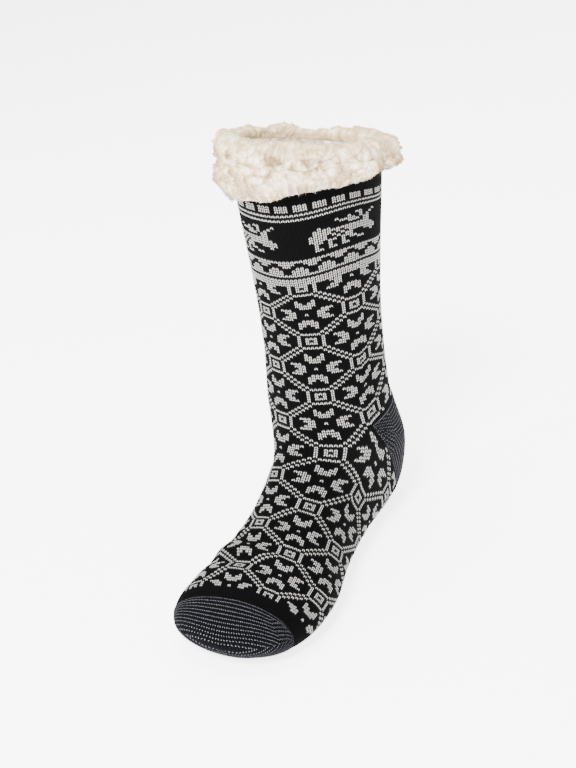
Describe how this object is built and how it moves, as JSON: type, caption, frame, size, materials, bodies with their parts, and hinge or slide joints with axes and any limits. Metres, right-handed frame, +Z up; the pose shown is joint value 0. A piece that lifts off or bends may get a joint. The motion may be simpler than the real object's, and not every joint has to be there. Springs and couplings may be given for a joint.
{
  "type": "slipper sock",
  "caption": "Knitted slipper sock with a sherpa lining and a fluffy turned-out cuff, standing empty on its flat sole and open at the collar.",
  "frame": {"origin": "centre of the bounding box in plan, on the floor that the sole stands on", "axes": "+Z up, the toe towards -Y, the heel towards +Y, +X to the wearer's left"},
  "size_m": [0.1288, 0.2738, 0.305],
  "materials": {
    "knit": "jacquard knit of black and off-white acrylic yarn",
    "sherpa": "cream polyester sherpa pile, curly and matt"
  },
  "bodies": {
    "root": {"knit_upper": "knit", "sherpa_lining": "sherpa", "sherpa_cuff": "sherpa"}
  },
  "joints": []
}
